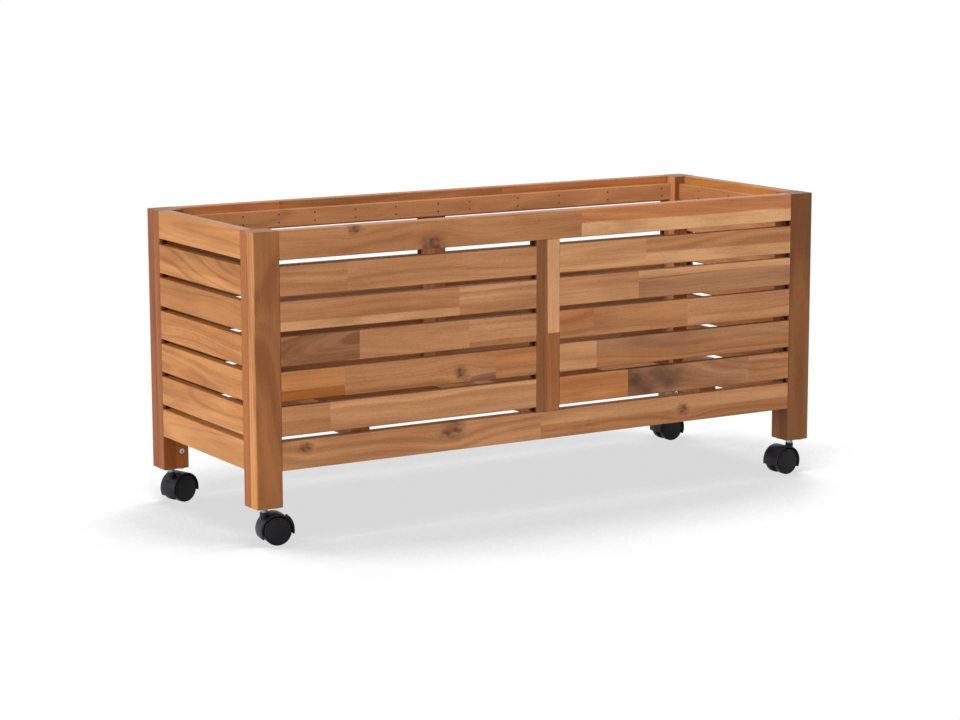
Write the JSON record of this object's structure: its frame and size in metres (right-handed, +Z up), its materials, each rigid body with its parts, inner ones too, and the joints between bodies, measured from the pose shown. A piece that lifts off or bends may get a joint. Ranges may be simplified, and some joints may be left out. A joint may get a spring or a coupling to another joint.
{
  "type": "rolling planter",
  "caption": "Long slatted timber planter box with rails, bolted corner posts and open floor bars, on twin-wheel swivel casters, one with a brake lever.",
  "frame": {"origin": "on the floor under the middle of the timber box; the bounding box, with the casters turned as stored, is centred on it to within 2 mm", "axes": "+X along the length to the right end, +Y from the front to the back, +Z up"},
  "size_m": [0.95, 0.3555, 0.437],
  "materials": {
    "timber": "oiled acacia, satin",
    "timber_dark": "oiled acacia, darker staves, satin",
    "caster_plastic": "moulded, fine texture",
    "wheel_plastic": "moulded, slight sheen",
    "zinc_steel": "zinc-plated",
    "black_steel": "blackened"
  },
  "bodies": {
    "planter_frame": {"front_left_post_outer": "timber", "front_left_post_inner": "timber_dark", "front_right_post_outer": "timber", "front_right_post_inner": "timber_dark", "back_left_post_outer": "timber", "back_left_post_inner": "timber_dark", "back_right_post_outer": "timber", "back_right_post_inner": "timber_dark", "front_top_rail": "timber", "front_bottom_rail": "timber", "front_centre_stile": "timber_dark", "front_slat_left_1": "timber", "front_slat_left_2": "timber", "front_slat_left_3": "timber", "front_slat_left_4": "timber", "front_slat_left_5": "timber", "front_slat_right_1": "timber", "front_slat_right_2": "timber", "front_slat_right_3": "timber", "front_slat_right_4": "timber", "front_slat_right_5": "timber", "back_top_rail": "timber", "back_bottom_rail": "timber", "back_centre_stile": "timber_dark", "back_slats_left": "timber", "back_slats_right": "timber", "left_top_rail": "timber", "left_bottom_rail": "timber", "left_slats": "timber", "right_top_rail": "timber", "right_bottom_rail": "timber", "right_slats": "timber", "long_liner_battens": "timber_dark", "end_liner_battens": "timber_dark", "floor_cleats": "timber_dark", "floor_bars": "timber", "corner_bolts": "zinc_steel", "corner_inserts": "zinc_steel", "nails": "black_steel", "bar_screws": "zinc_steel", "caster_plates": "zinc_steel", "plate_screws": "zinc_steel", "caster_stems": "zinc_steel"},
    "front_left_swivel": {"front_left_caster_body": "caster_plastic", "front_left_caster_axle": "zinc_steel"},
    "front_left_wheel_1": {"front_left_caster_wheel_1": "wheel_plastic"},
    "front_left_wheel_2": {"front_left_caster_wheel_2": "wheel_plastic"},
    "front_right_swivel": {"front_right_caster_body": "caster_plastic", "front_right_caster_axle": "zinc_steel"},
    "front_right_wheel_1": {"front_right_caster_wheel_1": "wheel_plastic"},
    "front_right_wheel_2": {"front_right_caster_wheel_2": "wheel_plastic"},
    "back_left_swivel": {"back_left_caster_body": "caster_plastic", "back_left_caster_axle": "zinc_steel"},
    "back_left_wheel_1": {"back_left_caster_wheel_1": "wheel_plastic"},
    "back_left_wheel_2": {"back_left_caster_wheel_2": "wheel_plastic"},
    "back_right_swivel": {"back_right_caster_body": "caster_plastic", "back_right_caster_axle": "zinc_steel"},
    "back_right_wheel_1": {"back_right_caster_wheel_1": "wheel_plastic"},
    "back_right_wheel_2": {"back_right_caster_wheel_2": "wheel_plastic"},
    "brake_lever": {"brake_lever": "caster_plastic"}
  },
  "joints": [
    {"name": "front_left_swivel_turn", "type": "hinge", "parent": "planter_frame", "child": "front_left_swivel", "pos_m": [-0.455, -0.154, 0.04], "axis": [0, 0, 1], "continuous": true},
    {"name": "front_left_wheel_1_spin", "type": "hinge", "parent": "front_left_swivel", "child": "front_left_wheel_1", "pos_m": [-0.43973, -0.15669, 0.02], "axis": [0.1736, 0.9848, 0], "continuous": true},
    {"name": "front_left_wheel_2_spin", "type": "hinge", "parent": "front_left_swivel", "child": "front_left_wheel_2", "pos_m": [-0.43973, -0.15669, 0.02], "axis": [0.1736, 0.9848, 0], "continuous": true},
    {"name": "front_right_swivel_turn", "type": "hinge", "parent": "planter_frame", "child": "front_right_swivel", "pos_m": [0.455, -0.154, 0.04], "axis": [0, 0, 1], "continuous": true},
    {"name": "front_right_wheel_1_spin", "type": "hinge", "parent": "front_right_swivel", "child": "front_right_wheel_1", "pos_m": [0.43954, -0.15508, 0.02], "axis": [0.0698, -0.9976, 0], "continuous": true},
    {"name": "front_right_wheel_2_spin", "type": "hinge", "parent": "front_right_swivel", "child": "front_right_wheel_2", "pos_m": [0.43954, -0.15508, 0.02], "axis": [0.0698, -0.9976, 0], "continuous": true},
    {"name": "back_left_swivel_turn", "type": "hinge", "parent": "planter_frame", "child": "back_left_swivel", "pos_m": [-0.455, 0.154, 0.04], "axis": [0, 0, 1], "continuous": true},
    {"name": "back_left_wheel_1_spin", "type": "hinge", "parent": "back_left_swivel", "child": "back_left_wheel_1", "pos_m": [-0.4401, 0.15827, 0.02], "axis": [-0.2756, 0.9613, 0], "continuous": true},
    {"name": "back_left_wheel_2_spin", "type": "hinge", "parent": "back_left_swivel", "child": "back_left_wheel_2", "pos_m": [-0.4401, 0.15827, 0.02], "axis": [-0.2756, 0.9613, 0], "continuous": true},
    {"name": "back_right_swivel_turn", "type": "hinge", "parent": "planter_frame", "child": "back_right_swivel", "pos_m": [0.455, 0.154, 0.04], "axis": [0, 0, 1], "continuous": true},
    {"name": "back_right_wheel_1_spin", "type": "hinge", "parent": "back_right_swivel", "child": "back_right_wheel_1", "pos_m": [0.4395, 0.15373, 0.02], "axis": [0.0175, -0.9998, 0], "continuous": true},
    {"name": "back_right_wheel_2_spin", "type": "hinge", "parent": "back_right_swivel", "child": "back_right_wheel_2", "pos_m": [0.4395, 0.15373, 0.02], "axis": [0.0175, -0.9998, 0], "continuous": true},
    {"name": "brake_lever_lift", "type": "hinge", "parent": "front_left_swivel", "child": "brake_lever", "pos_m": [-0.42394, -0.15948, 0.03549], "axis": [-0.1736, -0.9848, 0], "range_deg": [0, 28]}
  ]
}
